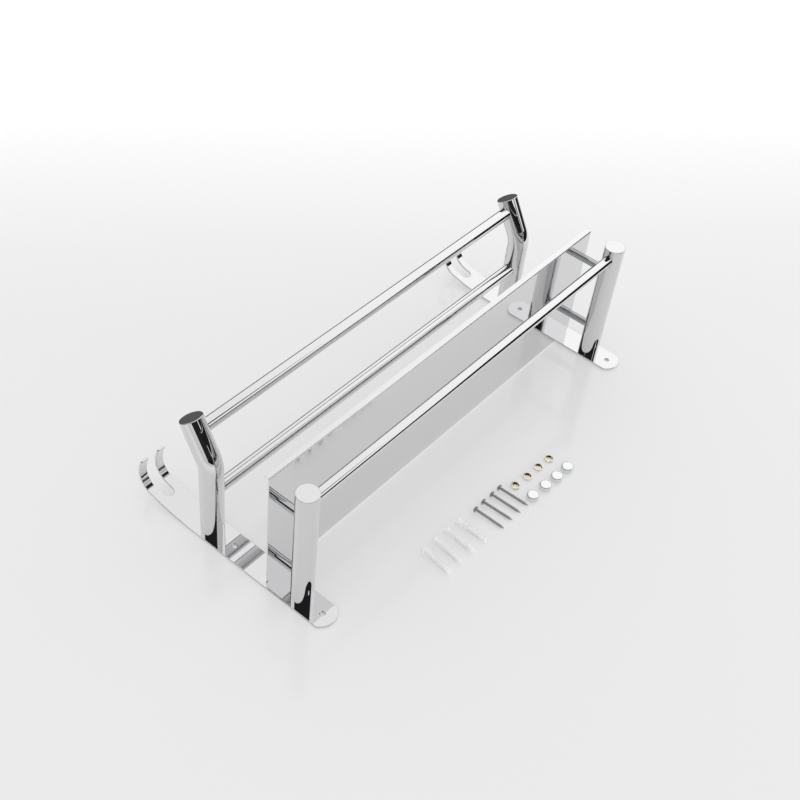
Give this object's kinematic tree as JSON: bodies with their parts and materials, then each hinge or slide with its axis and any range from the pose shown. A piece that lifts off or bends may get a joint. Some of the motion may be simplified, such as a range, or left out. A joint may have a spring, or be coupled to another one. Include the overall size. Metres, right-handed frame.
{
  "type": "towel rack",
  "caption": "Wall-mounted polished steel towel rack with a railed shelf, towel bars on bent posts and twin robe hooks, lying on its back beside its wall fixings.",
  "frame": {"origin": "centre of the four wall screw holes, on the wall plane at the back of the wall plates", "axes": "+Z out of the wall, +Y up the wall towards the shelf end, +X along the bars to the right as seen from the front; the rack lies on its back with the wall plane as the floor"},
  "size_m": [0.6, 0.3497, 0.178],
  "materials": {
    "polished_steel": "stainless steel polished to a mirror",
    "mirror_sheet": "stainless steel sheet polished to a mirror",
    "turned_steel": "turned stainless steel",
    "screw_steel": "cold-headed stainless steel",
    "brass": "turned brass, bright",
    "chromed_brass": "chrome plated, bright",
    "white_nylon": "moulded nylon, slightly see-through white"
  },
  "bodies": {
    "root": {"cover_caps": "chromed_brass", "cover_rings": "brass", "guard_rail": "polished_steel", "left_bent_base_plug": "turned_steel", "left_bent_post": "polished_steel", "left_bent_post_cap": "polished_steel", "left_lower_shelf_pin": "polished_steel", "left_straight_base_plug": "turned_steel", "left_straight_post": "polished_steel", "left_straight_post_cap": "polished_steel", "left_upper_shelf_pin": "polished_steel", "left_wall_plate": "polished_steel", "lower_towel_bar": "polished_steel", "post_screws": "turned_steel", "right_bent_base_plug": "turned_steel", "right_bent_post": "polished_steel", "right_bent_post_cap": "polished_steel", "right_lower_shelf_pin": "polished_steel", "right_straight_base_plug": "turned_steel", "right_straight_post": "polished_steel", "right_straight_post_cap": "polished_steel", "right_upper_shelf_pin": "polished_steel", "right_wall_plate": "polished_steel", "shelf_plate": "mirror_sheet", "shelf_screws": "turned_steel", "upper_towel_bar": "polished_steel", "wall_plugs": "white_nylon", "wall_screws": "screw_steel"}
  },
  "joints": []
}
